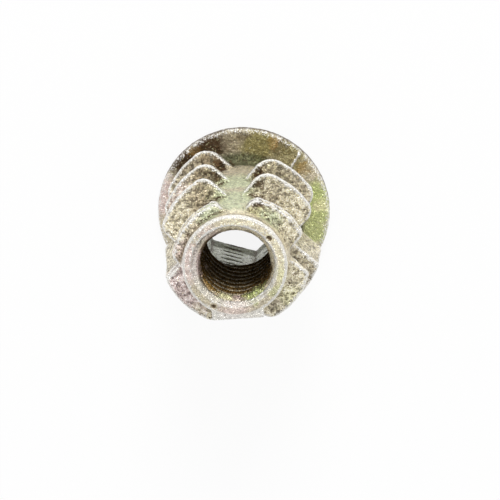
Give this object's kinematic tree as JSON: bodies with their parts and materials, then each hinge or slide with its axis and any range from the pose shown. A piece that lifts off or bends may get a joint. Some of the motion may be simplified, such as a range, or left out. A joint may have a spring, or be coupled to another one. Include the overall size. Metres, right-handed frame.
{
  "type": "threaded insert",
  "caption": "Flanged insert nut with a coarse interrupted outer thread for wood, a hex socket in the flange face and a threaded bore.",
  "frame": {"origin": "centre of the flange's outer face, which the insert stands on", "axes": "+Z along the axis from the flange to the pilot end; X and Y through the gaps in the outer thread"},
  "size_m": [0.0176, 0.0176, 0.02],
  "materials": {
    "zinc": "die-cast zinc alloy with a thin yellow passivation, satin, with a fine cast grain"
  },
  "bodies": {
    "root": {"insert": "zinc"}
  },
  "joints": []
}
